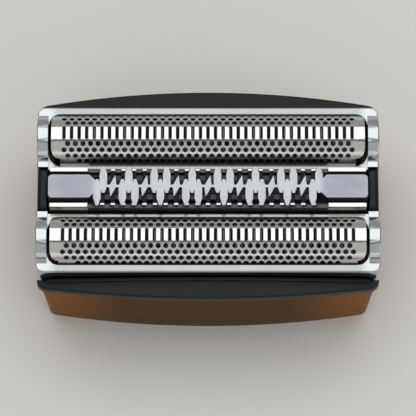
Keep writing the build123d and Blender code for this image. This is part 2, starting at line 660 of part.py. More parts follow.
# Trimmer rails: bright strips along both sides of the channel, higher beside the end plates
def trimmer_rails():
    rail_x = trimmer_half_length - GUARD_END_GAP
    comb_rail_z = trimmer_top_z - SIDE_RAIL_DROP
    end_rail_z = trimmer_top_z - SIDE_RAIL_END_DROP
    half_profile = [
        (rail_x, comb_rail_z - SIDE_RAIL_HEIGHT),
        (rail_x, end_rail_z),
        (end_block_x, end_rail_z),
        (end_block_x, comb_rail_z),
    ]
    other_half = [(-x, z) for x, z in reversed(half_profile)]
    profile = Plane.XZ * make_face(Polyline(*half_profile, *other_half, close=True))
    strip = extrude(profile, SIDE_RAIL_THICKNESS / 2, both=True)
    strip_y = trimmer_half_width + SIDE_RAIL_THICKNESS / 2
    return [Pos(0, y, 0) * strip for y in (-strip_y, strip_y)]


def save(name, shape):
    """Writes one node, a single solid or a group of like solids."""
    if isinstance(shape, list):
        shape = Compound(children=shape)
    export_step(shape, f"parts/{name}.step")


os.makedirs("parts", exist_ok=True)
save("lower_housing", lower_housing())
save("bezel_aprons", bezel_aprons())
post = end_post()
save("end_posts", [post, mirror(post, Plane.YZ)])
for name, side in (("front", FRONT), ("rear", REAR)):
    save(f"{name}_foil_frame", placed(foil_frame(), side))
    save(f"{name}_foil", placed(foil(), side))
    save(f"{name}_cutter_blades", [placed(blade, side) for blade in cutter_blades()])
    save(f"{name}_cutter_carrier", placed(cutter_carrier(), side))
    save(f"{name}_drive_bridge", placed(drive_bridge(drives_trimmer=side == FRONT), side))
    save(f"{name}_cutter_spring", placed(cutter_spring(), side))
    save(f"{name}_foil_springs", [placed(strip, side) for strip in foil_springs()])
save("trimmer_guard", trimmer_guard())
save("trimmer_blade", trimmer_blade())
save("trimmer_slider", trimmer_slider())
save("trimmer_frame", trimmer_frame())
save("trimmer_rails", trimmer_rails())
save("trimmer_springs", trimmer_springs())
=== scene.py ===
"""Foil head of an electric shaver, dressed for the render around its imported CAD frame.

The sections follow the head as it is put together on the bench, from the skirt up to the bezel.
Pieces are modelled in millimetres and scaled to metres when they are finished.
"""

import math

import bmesh
import bpy
from mathutils import Matrix, Vector


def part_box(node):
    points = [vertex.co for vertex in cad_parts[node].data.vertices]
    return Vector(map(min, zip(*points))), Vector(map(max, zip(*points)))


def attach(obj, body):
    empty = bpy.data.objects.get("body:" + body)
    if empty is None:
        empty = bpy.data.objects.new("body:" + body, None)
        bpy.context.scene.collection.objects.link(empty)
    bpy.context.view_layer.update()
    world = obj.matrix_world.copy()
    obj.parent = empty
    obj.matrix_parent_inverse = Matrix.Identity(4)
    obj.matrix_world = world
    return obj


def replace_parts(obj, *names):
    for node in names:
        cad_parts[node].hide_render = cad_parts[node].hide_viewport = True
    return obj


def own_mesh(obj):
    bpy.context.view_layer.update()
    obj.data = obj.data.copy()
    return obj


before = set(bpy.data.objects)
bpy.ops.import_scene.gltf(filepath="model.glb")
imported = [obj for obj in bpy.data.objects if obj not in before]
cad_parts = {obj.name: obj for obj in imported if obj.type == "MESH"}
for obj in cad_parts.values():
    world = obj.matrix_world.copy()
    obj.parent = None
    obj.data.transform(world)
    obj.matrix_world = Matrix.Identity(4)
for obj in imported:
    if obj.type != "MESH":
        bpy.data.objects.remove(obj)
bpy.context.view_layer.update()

# Lower housing: the skirt that slips over the shaver's neck, with the deck for the drives inside.
# It is one moulding of dark brown pearl ABS, drafted so that it leaves its tool downwards, with a
# latch window in each end wall and a window in the deck for each drive.
MM = 0.001
SKIRT_WALL = 1.3
SKIRT_DRAFT = math.tan(math.radians(3))
SKIRT_EDGE = 0.25
CORNER_RADIUS = 1.2
SIDE_BOW = 2.0
SIDE_COLUMNS = 28
LIP_OVERHANG = 0.3
LIP_HEIGHT = 1.6
CROWN = 1.0
DECK_TOP = 8.2
DECK_BOTTOM = 7.0
END_WALL_TOP = 10.9
CHANNEL_Y = 13.5
COLUMN_REACH = 0.6
LATCH_LOW, LATCH_HIGH, LATCH_HALF_WIDTH, LATCH_REACH = 2.4, 5.0, 4.5, 3.0
WINDOW_HALF_LENGTH, WINDOW_NEAR, WINDOW_FAR = 4.4, 5.7, 10.7
SHARP_ANGLE = math.radians(40)
SHADING_ANGLE = math.radians(32)
ANYWHERE = (-1000, 1000)
NEAR = 0.01
WELD = 0.001


def node_box(node):
    """Lowest and highest corner of a CAD node, in millimetres."""
    return [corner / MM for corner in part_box(node)]


bezel_half_x = node_box("bezel_aprons")[1].x
bezel_half_y = node_box("bezel_aprons")[1].y - SIDE_BOW
parting_z = node_box("lower_housing")[1].z
bezel_top = parting_z + LIP_HEIGHT


def linear(hex_colour):
    """sRGB hex colour as linear RGBA."""
    channels = [int(hex_colour[i:i + 2], 16) / 255 for i in (1, 3, 5)]
    return [c / 12.92 if c <= 0.04045 else ((c + 0.055) / 1.055) ** 2.4 for c in channels] + [1]


def wire(material, node, *ordered, **named):
    """Fills a node's inputs, in order or by name, with plain values or other nodes' output sockets."""
    sockets = [*node.inputs[:len(ordered)], *[node.inputs[name.replace("_", " ")] for name in named]]
    for socket, value in zip(sockets, [*ordered, *named.values()]):
        if isinstance(value, bpy.types.NodeSocket):
            material.node_tree.links.new(value, socket)
        else:
            socket.default_value = value


def add_node(material, kind, settings=None, *ordered, **named):
    """Adds a shader node with its settings and its inputs."""
    made = material.node_tree.nodes.new(kind)
    for name, value in (settings or {}).items():
        setattr(made, name, value)
    wire(material, made, *ordered, **named)
    return made


def new_material(name, **constants):
    """A material with its constants set on the Principled shader itself; returns it with that shader."""
    material = bpy.data.materials.new(name)
    material.use_nodes = True
    shader = material.node_tree.nodes["Principled BSDF"]
    wire(material, shader, **constants)
    return material, shader


def crown_drop(u):
    """How far the aprons fall from the middle of the head, at u from -1 to 1 along it."""
    return CROWN * u * u


def picked(bm, x=ANYWHERE, y=ANYWHERE, z=ANYWHERE):
    """Faces whose middle lies between the limits."""
    def inside(face):
        middle = face.calc_center_bounds()
        return all(low <= c <= high for c, (low, high) in zip(middle, (x, y, z)))
    return [face for face in bm.faces if inside(face)]


def around(value):
    """Narrow limits about a place."""
    return (value - NEAR, value + NEAR)


def sliced(bm, faces, axis, *places):
    """Splits the faces along planes across an axis, given as 0, 1 or 2."""
    normal = Vector([i == axis for i in range(3)])
    for place in places:
        faces = [face for face in faces if face.is_valid]
        edges = {e for face in faces for e in face.edges}
        verts = {v for face in faces for v in face.verts}
        cut = bmesh.ops.bisect_plane(
            bm, geom=[*faces, *edges, *verts], plane_co=normal * place, plane_no=normal, dist=WELD
        )
        faces = [g for g in cut["geom"] if isinstance(g, bmesh.types.BMFace)]
    return faces


def opened(bm, faces):
    """Deletes the faces at both ends of a window and joins the two openings with walls."""
    bmesh.ops.delete(bm, geom=faces, context="FACES_ONLY")
    loose = [e for e in bm.edges if not e.link_faces]
    bmesh.ops.delete(bm, geom=loose, context="EDGES")
    bmesh.ops.bridge_loops(bm, edges=[e for e in bm.edges if e.is_boundary])


def sharp_edges(bm, angle=SHARP_ANGLE):
    """Edges where two faces meet at more than an angle."""
    return [e for e in bm.edges if len(e.link_faces) == 2 and e.calc_face_angle() > angle]


def rounded(bm, edges, radius, segments=3):
    """Rounds edges to a radius."""
    bmesh.ops.bevel(
        bm, geom=edges, offset=radius, segments=segments, profile=0.5, affect="EDGES", material=-1,
        clamp_overlap=True,
    )


def finish_piece(name, bm, material, body, node, place=Matrix.Identity(4)):
    """Turns a bmesh in millimetres into a piece of the head that stands for a CAD node."""
    bm.transform(place)
    bm.transform(Matrix.Scale(MM, 4))
    bmesh.ops.recalc_face_normals(bm, faces=bm.faces)
    if bm.calc_volume(signed=True) < 0:
        bmesh.ops.reverse_faces(bm, faces=bm.faces)
    for face in bm.faces:
        face.smooth = True
    mesh = bpy.data.meshes.new(name)
    bm.to_mesh(mesh)
    bm.free()
    mesh.set_sharp_from_angle(angle=SHADING_ANGLE)
    mesh.materials.append(material)
    piece = bpy.data.objects.new(name, mesh)
    bpy.context.scene.collection.objects.link(piece)
    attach(piece, body)
    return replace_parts(piece, node)


def outer_inset(z):
    """How far the skirt's outside lies within the bezel's outline at a height."""
    return LIP_OVERHANG + SKIRT_DRAFT * (bezel_top - z)


def cut_windows(bm):
    """Opens a window for each drive in the deck and a latch window in each end wall."""
    for level in (DECK_TOP, DECK_BOTTOM):
        deck = picked(bm, z=around(level))
        deck = sliced(bm, deck, 0, -WINDOW_HALF_LENGTH, WINDOW_HALF_LENGTH)
        sliced(bm, deck, 1, -WINDOW_FAR, -WINDOW_NEAR, WINDOW_NEAR, WINDOW_FAR)
    window_x = (-WINDOW_HALF_LENGTH, WINDOW_HALF_LENGTH)
    deck_z = (DECK_BOTTOM - NEAR, DECK_TOP + NEAR)
    for window_y in ((-WINDOW_FAR, -WINDOW_NEAR), (WINDOW_NEAR, WINDOW_FAR)):
        opened(bm, picked(bm, x=window_x, y=window_y, z=deck_z))
    latch_z = (LATCH_LOW, LATCH_HIGH)
    latch_x = bezel_half_x - LATCH_REACH
    for end in ((-bezel_half_x, -latch_x), (latch_x, bezel_half_x)):
        walls = picked(bm, x=end, y=around(0), z=latch_z)
        sliced(bm, walls, 1, -LATCH_HALF_WIDTH, LATCH_HALF_WIDTH)
        opened(bm, picked(bm, x=end, y=around(0), z=latch_z))


def skirt_shell():
    """The deck's outline, drawn up the well, over the rim and down the outside into the socket."""
    well_inset = outer_inset(DECK_TOP) + SKIRT_WALL
    socket_inset = outer_inset(0) + SKIRT_WALL
    bm = bmesh.new()
    bmesh.ops.create_grid(bm, x_segments=SIDE_COLUMNS, y_segments=1, size=1)
    bmesh.ops.scale(bm, vec=(bezel_half_x, bezel_half_y, 1), verts=bm.verts)
    corners = [v for v in bm.verts if len(v.link_edges) == 2]
    bmesh.ops.bevel(
        bm, geom=corners, offset=CORNER_RADIUS, segments=5, profile=0.5, affect="VERTICES", material=-1
    )
    bmesh.ops.dissolve_faces(bm, faces=bm.faces)
    along, across = [bm.verts.layers.float.new(name) for name in ("along", "across")]
    for v in bm.verts:
        v[along], v[across] = v.co.x / bezel_half_x, v.co.y / bezel_half_y

    def top(v):
        """Height of the rim: up to the aprons along the sides, low at the end walls."""
        raised = (1 - abs(v[across])) * bezel_half_y < COLUMN_REACH
        return parting_z - crown_drop(v[along]) if raised else END_WALL_TOP

    def laid(verts, inset, z, least_y=0):
        """Lays a ring of vertices at an inset from the bezel's outline and at a height."""
        for v in verts:
            u = v[along]
            height = z(v) if callable(z) else z
            margin = inset(height) if callable(inset) else inset
            y = v[across] * (bezel_half_y - margin + SIDE_BOW * (1 - u * u))
            if (1 - abs(v[across])) * bezel_half_y < CORNER_RADIUS + NEAR:
                y = math.copysign(max(abs(y), least_y), y)
            v.co = (u * (bezel_half_x - margin), y, height)

    laid(bm.verts, well_inset, DECK_TOP)
    loop = bm.edges[:]
    rings = [(well_inset, END_WALL_TOP), (well_inset, END_WALL_TOP, CHANNEL_Y), (well_inset, top, CHANNEL_Y)]
    rings += [(outer_inset, z) for z in (top, LATCH_HIGH, LATCH_LOW, 0)]
    rings += [(socket_inset, z) for z in (0, LATCH_LOW, LATCH_HIGH, DECK_BOTTOM)]
    for ring in rings:
        grown = bmesh.ops.extrude_edge_only(bm, edges=loop)["geom"]
        verts = {g for g in grown if isinstance(g, bmesh.types.BMVert)}
        laid(verts, *ring)
        loop = [e for e in bm.edges if e.verts[0] in verts and e.verts[1] in verts]
    bmesh.ops.contextual_create(bm, geom=loop)
    bmesh.ops.remove_doubles(bm, verts=bm.verts, dist=WELD)
    cut_windows(bm)
    rounded(bm, sharp_edges(bm), SKIRT_EDGE)
    return bm


# Pearl ABS: brown, with fine flakes in it that tint what it mirrors, and its moulded skin has a faint
# waviness.
# Outside, the ends are painted warmer than the long sides: a painted glow for light through the plastic and
# warm reflections.
BROWN, PAINTED_GLOW_BROWN, PEARL = "#644F30", "#9C6A38", "#8C5A24"
PEARL_METAL, PEARL_SPECULAR = 0.4, 0.03
PEARL_SMOOTH, PEARL_ROUGH = 0.2, 0.28
TINT_START, TINT_END = 10, 25.5
INSIDE_REACH, OUTSIDE_REACH = 12, 14
SKIN_WAVE, SKIN_WAVE_DEPTH = 2.0, 0.0015
pearl_abs, shader = new_material(
    "pearl_brown_abs", Metallic=PEARL_METAL, Specular_IOR_Level=PEARL_SPECULAR, Specular_Tint=linear(PEARL)
)
surface = add_node(pearl_abs, "ShaderNodeTexCoord").outputs["Object"]
along = add_node(pearl_abs, "ShaderNodeSeparateXYZ", Vector=surface).outputs["X"]
from_middle = add_node(pearl_abs, "ShaderNodeMath", {"operation": "ABSOLUTE"}, along).outputs[0]
towards_end = add_node(
    pearl_abs, "ShaderNodeMapRange", {"interpolation_type": "SMOOTHSTEP"},
    Value=from_middle, From_Min=TINT_START * MM, From_Max=TINT_END * MM,
).outputs["Result"]
facing = add_node(pearl_abs, "ShaderNodeNewGeometry").outputs["Normal"]
outward = add_node(pearl_abs, "ShaderNodeVectorMath", {"operation": "DOT_PRODUCT"}, facing, surface)
# Painted glow: the outward faces towards the ends take the warmer brown.
painted_glow = add_node(
    pearl_abs, "ShaderNodeMapRange", Value=outward.outputs["Value"],
    From_Min=INSIDE_REACH * MM, From_Max=OUTSIDE_REACH * MM, To_Max=towards_end,
).outputs["Result"]
tint = add_node(pearl_abs, "ShaderNodeMixRGB", Fac=painted_glow, Color1=linear(BROWN), Color2=linear(PAINTED_GLOW_BROWN))
waves = add_node(
    pearl_abs, "ShaderNodeTexNoise", Vector=surface, Scale=1 / (SKIN_WAVE * MM), Detail=3
).outputs["Fac"]
gloss = add_node(pearl_abs, "ShaderNodeMapRange", Value=waves, To_Min=PEARL_SMOOTH, To_Max=PEARL_ROUGH)
skin = add_node(pearl_abs, "ShaderNodeBump", Height=waves, Strength=1, Distance=SKIN_WAVE_DEPTH * MM)
wire(pearl_abs, shader, Base_Color=tint.outputs[0], Roughness=gloss.outputs["Result"],
     Normal=skin.outputs[0])
finish_piece("skirt", skirt_shell(), pearl_abs, "housing", "lower_housing")

# Drives: two sliding bridges with the drive sockets and guide posts, and the leaf springs on the deck.
# The bridges are moulded in dark grey acetal, and the springs are bent from rolled steel strip.
LEAF_EDGE = 0.04
NODE_WELD = 0.002
FLAT_ANGLE = math.radians(0.5)

# Acetal moulded in a lightly eroded tool: it gives a dull waxy grey, a little uneven.
ACETAL_DARK, ACETAL_LIGHT = "#222326", "#36373A"
ACETAL_SMOOTH, ACETAL_ROUGH = 0.4, 0.6
ACETAL_GRAIN, ACETAL_GRAIN_DEPTH = 0.35, 0.004
acetal, shader = new_material("grey_acetal")
surface = add_node(acetal, "ShaderNodeTexCoord").outputs["Object"]
grain = add_node(
    acetal, "ShaderNodeTexNoise", Vector=surface, Scale=1 / (ACETAL_GRAIN * MM), Detail=2
).outputs["Fac"]
wax = add_node(
    acetal, "ShaderNodeMixRGB", Fac=grain, Color1=linear(ACETAL_DARK), Color2=linear(ACETAL_LIGHT)
)
dull = add_node(acetal, "ShaderNodeMapRange", Value=grain, To_Min=ACETAL_SMOOTH, To_Max=ACETAL_ROUGH)
skin = add_node(acetal, "ShaderNodeBump", Height=grain, Strength=1, Distance=ACETAL_GRAIN_DEPTH * MM)
wire(acetal, shader, Base_Color=wax.outputs[0], Roughness=dull.outputs["Result"], Normal=skin.outputs[0])

# Rolled spring steel: a half bright strip with fine lines along its length, drawn coarser than they
# are, so that they show.
STRIP_DARK, STRIP_LIGHT = "#7C8084", "#A0A4A8"
STRIP_SMOOTH, STRIP_ROUGH = 0.22, 0.5
ROLLING_LENGTH, ROLLING_WIDTH = 4.0, 0.25
spring_strip, shader = new_material("rolled_spring_steel", Metallic=1)
surface = add_node(spring_strip, "ShaderNodeTexCoord").outputs["Object"]
lines = [1 / (ROLLING_LENGTH * MM)] + 2 * [1 / (ROLLING_WIDTH * MM)]
stretched = add_node(spring_strip, "ShaderNodeMapping", Vector=surface, Scale=lines).outputs[0]
rolling = add_node(spring_strip, "ShaderNodeTexNoise", Vector=stretched, Scale=1, Detail=2).outputs["Fac"]
sheen = add_node(spring_strip, "ShaderNodeMapRange", Value=rolling, To_Min=STRIP_SMOOTH, To_Max=STRIP_ROUGH)
steel = add_node(
    spring_strip, "ShaderNodeMixRGB", Fac=rolling, Color1=linear(STRIP_DARK), Color2=linear(STRIP_LIGHT)
)
wire(spring_strip, shader, Base_Color=steel.outputs[0], Roughness=sheen.outputs["Result"])


def dress(material, *nodes):
    """Gives CAD nodes that are carried over their material."""
    for node in nodes:
        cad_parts[node].material_slots[0].material = material


def softened(node, radius):
    """A merged copy of a CAD node with its sharp edges rounded, in millimetres."""
    bm = bmesh.new()
    bm.from_mesh(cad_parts[node].data)
    bm.transform(Matrix.Scale(1 / MM, 4))
    bmesh.ops.remove_doubles(bm, verts=bm.verts, dist=NODE_WELD)
    bmesh.ops.dissolve_limit(bm, angle_limit=FLAT_ANGLE, verts=bm.verts, edges=bm.edges)
    rounded(bm, sharp_edges(bm), radius, 2)
    return bm


def leaf_spring(node, body):
    """A spring for a CAD node, with its edges rounded and a mesh of its own."""
    leaf = finish_piece(f"{node}_leaf", softened(node, LEAF_EDGE), spring_strip, body, node)
    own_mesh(leaf)


dress(acetal, "front_drive_bridge", "rear_drive_bridge")
for side in ("front", "rear"):
    leaf_spring(f"{side}_cutter_spring", f"{side}_drive")
    leaf_spring(f"{side}_foil_springs", "housing")
leaf_spring("trimmer_springs", "housing")

# Cutters: stacks of thin lamellae with a ground round edge, side by side on an acetal carrier.
# They are hardened stainless steel, and show dark grey through the holes of the foils.
FOIL_AXIS_Z = 18.0
FOIL_Y = 8.2
BLADE_RADIUS = 3.75
BLADE_HALF_WIDTH = 3.2
BLADE_THICKNESS = 0.22
BLADE_COUNT = 44
SIDES = {
    "front": Matrix.Translation((0, -FOIL_Y, 0)),
    "rear": Matrix.Translation((0, FOIL_Y, 0)) @ Matrix.Rotation(math.pi, 4, "Z"),
}

# Hardened stainless steel: near black from the furnace on the sides, and a lighter grey where it is
# ground. The lines of the grinding are drawn coarser than they are, so that they show.
GROUND_GREY, FURNACE_BLACK = "#4C4C4E", "#202123"
GROUND_SMOOTH, GROUND_ROUGH = 0.2, 0.45
GRINDING_WIDTH, GRINDING_LENGTH = 0.08, 1.5
ground_steel, shader = new_material("ground_steel", Metallic=1)
surface = add_node(ground_steel, "ShaderNodeTexCoord").outputs["Object"]
lines = [1 / (GRINDING_WIDTH * MM)] + 2 * [1 / (GRINDING_LENGTH * MM)]
stretched = add_node(ground_steel, "ShaderNodeMapping", Vector=surface, Scale=lines).outputs[0]
grinding = add_node(ground_steel, "ShaderNodeTexNoise", Vector=stretched, Scale=1, Detail=2).outputs["Fac"]
facing = add_node(ground_steel, "ShaderNodeNewGeometry").outputs["Normal"]
along = add_node(ground_steel, "ShaderNodeSeparateXYZ", Vector=facing).outputs["X"]
flank = add_node(ground_steel, "ShaderNodeMath", {"operation": "ABSOLUTE"}, along).outputs[0]
steel = add_node(
    ground_steel, "ShaderNodeMixRGB", Fac=flank, Color1=linear(GROUND_GREY), Color2=linear(FURNACE_BLACK)
)
sheen = add_node(
    ground_steel, "ShaderNodeMapRange", Value=grinding, To_Min=GROUND_SMOOTH, To_Max=GROUND_ROUGH
)
wire(ground_steel, shader, Base_Color=steel.outputs[0], Roughness=sheen.outputs["Result"])
dress(acetal, "front_cutter_carrier", "rear_cutter_carrier")


def extruded(bm, faces, offset):
    """Extrudes the faces by an offset and returns the moved vertices; on a solid the old faces go."""
    on_solid = any(face not in faces for old in faces for e in old.edges for face in e.link_faces)
    grown = bmesh.ops.extrude_face_region(bm, geom=faces)["geom"]
    moved = [g for g in grown if isinstance(g, bmesh.types.BMVert)]
    bmesh.ops.translate(bm, verts=moved, vec=offset)
    if on_solid:
        bmesh.ops.delete(bm, geom=faces, context="FACES")
    return moved


def lamella():
    """One blade about the foil's axis, with its middle at X 0."""
    bm = bmesh.new()
    bmesh.ops.create_circle(bm, cap_ends=True, segments=64, radius=BLADE_RADIUS)
    bmesh.ops.rotate(bm, verts=bm.verts, matrix=Matrix.Rotation(math.pi / 2, 3, "Y"))
    seat = node_box("front_cutter_blades")[0].z - FOIL_AXIS_Z
    for point, normal in (((0, 0, seat), (0, 0, -1)), ((0, BLADE_HALF_WIDTH, 0), (0, 1, 0)),
                          ((0, -BLADE_HALF_WIDTH, 0), (0, -1, 0))):
        bmesh.ops.bisect_plane(
            bm, geom=[*bm.verts, *bm.edges, *bm.faces], plane_co=point, plane_no=normal, clear_outer=True
        )
    extruded(bm, bm.faces[:], (BLADE_THICKNESS, 0, 0))
    bmesh.ops.translate(bm, verts=bm.verts, vec=(-BLADE_THICKNESS / 2, 0, FOIL_AXIS_Z))
    return bm


def blade_stack():
    """All blades of a cutter, evenly spaced along it."""
    bm = lamella()
    low, high = node_box("front_cutter_blades")
    pitch = (high.x - low.x - BLADE_THICKNESS) / (BLADE_COUNT - 1)
    first = [*bm.verts, *bm.edges, *bm.faces]
    for i in range(1, BLADE_COUNT):
        copy = bmesh.ops.duplicate(bm, geom=first)["geom"]
        verts = [g for g in copy if isinstance(g, bmesh.types.BMVert)]
        bmesh.ops.translate(bm, verts=verts, vec=(i * pitch, 0, 0))
    bmesh.ops.translate(bm, verts=bm.verts, vec=(low.x + BLADE_THICKNESS / 2, 0, 0))
    return bm


for side, place in SIDES.items():
    finish_piece(f"{side}_lamellae", blade_stack(), ground_steel, f"{side}_cutter",
                 f"{side}_cutter_blades", place)

# Foils: thin electroformed nickel sheets, arched over the cutters and pierced with staggered holes.
# A plain border is left at each end, and two straight legs go down inside the frame's rails.
FOIL_RADIUS = 4.0
FOIL_THICKNESS = 0.12
FOIL_LEG = 3.8
FOIL_BORDER = 1.35
CELL_WIDTH = 1.15
CELL_TIP = 0.33
CREST_SIDE, CREST_WALL = 2.15, 0.6
SLOPE_SIDE, SLOPE_WALL = 0.64, 0.38
SLOPE_ROWS = 4
FIELD_CORNER_Y = 3.3
FOIL_CORNER = 1.3
CORNER_STEPS = 5
BEND_STEP = math.radians(5)
FRAME_FILLET = 1.8
FRAME_FILLET_Y = FOIL_RADIUS - FRAME_FILLET
foil_half_length = node_box("front_foil")[1].x
arch_half = FOIL_RADIUS * math.pi / 2
sheet_half = arch_half + FOIL_LEG


def cell_row(bm, middle_y, side, shift):
    """A row of hexagons with their points across the arch and straight sides of a given length."""
    verts = bmesh.ops.create_circle(bm, cap_ends=True, segments=6, radius=1)["verts"]
    flat_half = math.cos(math.radians(30))
    bmesh.ops.scale(bm, vec=(CELL_WIDTH / 2 / flat_half, 2 * CELL_TIP, 1), verts=verts)
    for v in verts:
        v.co.y += middle_y + (side / 2 - CELL_TIP) * math.copysign(1, v.co.y)
    first = [*verts, *{e for v in verts for e in v.link_edges}, *{f for v in verts for f in v.link_faces}]
    columns = int(foil_half_length / CELL_WIDTH) + 2
    for column in range(-columns, columns + 1):
        copy = bmesh.ops.duplicate(bm, geom=first)["geom"]
        moved = [g for g in copy if isinstance(g, bmesh.types.BMVert)]
        bmesh.ops.translate(bm, verts=moved, vec=((column + shift) * CELL_WIDTH, 0, 0))
    bmesh.ops.delete(bm, geom=verts, context="VERTS")


def pierced_sheet():
    """The sheet laid flat: rows of cells, cut to length and width, with a hole in each cell of the field."""
    bm = bmesh.new()
    cell_row(bm, 0, CREST_SIDE, 0)
    edge = CREST_SIDE / 2
    for row in range(SLOPE_ROWS + 1):
        length = SLOPE_SIDE if row < SLOPE_ROWS else sheet_half
        for side in (-1, 1):
            cell_row(bm, side * (edge + CELL_TIP + length / 2), length, (row + 1) % 2 / 2)
        edge += CELL_TIP + length
    slope_end = edge - length
    bmesh.ops.remove_doubles(bm, verts=bm.verts, dist=NEAR)
    for axis, limit in ((0, foil_half_length), (1, sheet_half)):
        for side in (-1, 1):
            normal = Vector([side * (i == axis) for i in range(3)])
            bmesh.ops.bisect_plane(
                bm, geom=[*bm.verts, *bm.edges, *bm.faces], plane_co=normal * limit, plane_no=normal,
                clear_outer=True,
            )
    hole_x = foil_half_length - FOIL_BORDER - CELL_WIDTH / 2

    def in_field(middle):
        """Whether a cell lies inside the field of holes, whose corners are cut off."""
        return abs(middle.x) - hole_x < FIELD_CORNER_Y - abs(middle.y)

    crest = picked(bm, x=(-hole_x, hole_x), y=around(0))
    slopes = [f for f in picked(bm, x=(-hole_x, hole_x), y=(-slope_end, slope_end)) if f not in crest]
    slopes = [f for f in slopes if in_field(f.calc_center_bounds())]
    for holes, wall in ((crest, CREST_WALL), (slopes, SLOPE_WALL)):
        bmesh.ops.inset_individual(bm, faces=holes, thickness=wall / 2, use_even_offset=True)
        bmesh.ops.delete(bm, geom=holes, context="FACES")
    return bm


def cut_corners(bm):
    """Cuts the flat sheet back beside its legs and rounds its four corners."""
    straight_x = foil_half_length - FOIL_CORNER
    reaches = (FRAME_FILLET_Y, FRAME_FILLET_Y + FOIL_CORNER)
    corner_y = [FOIL_RADIUS * math.asin(reach / FOIL_RADIUS) for reach in reaches]
    depth = corner_y[1] - corner_y[0]
    faces = sliced(bm, bm.faces[:], 0, -straight_x, straight_x)
    sliced(bm, faces, 1, -corner_y[1], -corner_y[0], corner_y[0], corner_y[1])
    legs = picked(bm, y=(corner_y[1], sheet_half)) + picked(bm, y=(-sheet_half, -corner_y[1]))
    beside_leg = [f for f in legs if abs(f.calc_center_bounds().x) > straight_x]
    bmesh.ops.delete(bm, geom=beside_leg, context="FACES")
    for x_side, y_side in ((-1, -1), (-1, 1), (1, -1), (1, 1)):
        for i in range(CORNER_STEPS):
            turn = (i + 0.5) / CORNER_STEPS * math.pi / 2
            tangent = (x_side * (straight_x + FOIL_CORNER * math.cos(turn)),
                       y_side * (corner_y[0] + depth * math.sin(turn)), 0)
            normal = (x_side * math.cos(turn) / FOIL_CORNER, y_side * math.sin(turn) / depth, 0)
            corner = [f for f in bm.faces if f.calc_center_bounds().x * x_side > straight_x
                      and f.calc_center_bounds().y * y_side > corner_y[0]]
            edges = {e for f in corner for e in f.edges}
            verts = {v for f in corner for v in f.verts}
            bmesh.ops.bisect_plane(
                bm, geom=[*corner, *edges, *verts], plane_co=tangent, plane_no=normal, clear_outer=True
            )


def foil_sheet():
    """The pierced sheet bent over the cutters, with its legs straight, and given its thickness."""
    bm = pierced_sheet()
    cut_corners(bm)
    steps = int(sheet_half / (FOIL_RADIUS * BEND_STEP))
    bends = [i * FOIL_RADIUS * BEND_STEP for i in range(-steps, steps + 1)]
    sliced(bm, bm.faces[:], 1, *bends)
    for v in bm.verts:
        angle = max(-math.pi / 2, min(math.pi / 2, v.co.y / FOIL_RADIUS))
        leg = abs(v.co.y) - arch_half
        rise = FOIL_RADIUS * math.cos(angle) - max(0, leg)
        v.co = (v.co.x, FOIL_RADIUS * math.sin(angle), FOIL_AXIS_Z + rise)
    bmesh.ops.recalc_face_normals(bm, faces=bm.faces)
    if sum(f.normal.z * f.calc_area() for f in bm.faces) < 0:
        bmesh.ops.reverse_faces(bm, faces=bm.faces)
    bmesh.ops.solidify(bm, geom=bm.faces[:], thickness=FOIL_THICKNESS)
    return bm


# Electroformed nickel: satin from the bath, polished by use along the crest. The grain of the satin is
# drawn coarser than it is, so that it shows.
NICKEL_DARK, NICKEL_LIGHT = "#C8C6C2", "#DEDCD8"
SATIN_SMOOTH, SATIN_ROUGH = 0.18, 0.32
SATIN_GRAIN, SATIN_DEPTH = 0.3, 0.002
POLISH_LOW, POLISH_HIGH, POLISH_SHARE = 20.6, 21.9, 0.5
nickel_foil, shader = new_material("nickel_foil", Metallic=1)
surface = add_node(nickel_foil, "ShaderNodeTexCoord").outputs["Object"]
height = add_node(nickel_foil, "ShaderNodeSeparateXYZ", Vector=surface).outputs["Z"]
satin = add_node(
    nickel_foil, "ShaderNodeTexNoise", Vector=surface, Scale=1 / (SATIN_GRAIN * MM), Detail=2
).outputs["Fac"]
dull = add_node(
    nickel_foil, "ShaderNodeMapRange", Value=satin, To_Min=SATIN_SMOOTH, To_Max=SATIN_ROUGH
).outputs["Result"]
polish = add_node(
    nickel_foil, "ShaderNodeMapRange", {"interpolation_type": "SMOOTHSTEP"}, Value=height,
    From_Min=POLISH_LOW * MM, From_Max=POLISH_HIGH * MM, To_Min=1, To_Max=POLISH_SHARE,
).outputs["Result"]
sheen = add_node(nickel_foil, "ShaderNodeMath", {"operation": "MULTIPLY"}, dull, polish)
nickel = add_node(
    nickel_foil, "ShaderNodeMixRGB", Fac=satin, Color1=linear(NICKEL_DARK), Color2=linear(NICKEL_LIGHT)
)
skin = add_node(nickel_foil, "ShaderNodeBump", Height=satin, Strength=1, Distance=SATIN_DEPTH * MM)
wire(nickel_foil, shader, Base_Color=nickel.outputs[0], Roughness=sheen.outputs[0], Normal=skin.outputs[0])
for side, place in SIDES.items():
    finish_piece(f"{side}_mesh_foil", foil_sheet(), nickel_foil, f"{side}_foil_unit",
                 f"{side}_foil", place)

# Foil frames: a rail along each side and an arched cap at each end, moulded in one and chromed.
# The caps' skirts slide outside the bezel, and a flange on the outer rail stops the frame under it.
OUTER_REACH = 5.1
INNER_REACH = 4.6
CAP_THICKNESS = 1.7
CAP_SKIRT_THICKNESS = 0.5
RAIL_TOP = 19.4
INNER_RAIL_TOP = 18.2
RAIL_BOTTOM = 12.6
FRAME_CORNER = 1.2
CAP_EDGE = 0.5
FRAME_EDGE = 0.2
FLANGE = 0.5
FLANGE_HEIGHT = 0.8
FLANGE_HALF_LENGTH = 14.0
ARCH_STEPS = 32
FILLET_STEPS = 5
STEEP_ANGLE = math.radians(50)
frame_low, frame_high = node_box("front_foil_frame")
cap_inner_x = frame_high.x - CAP_THICKNESS
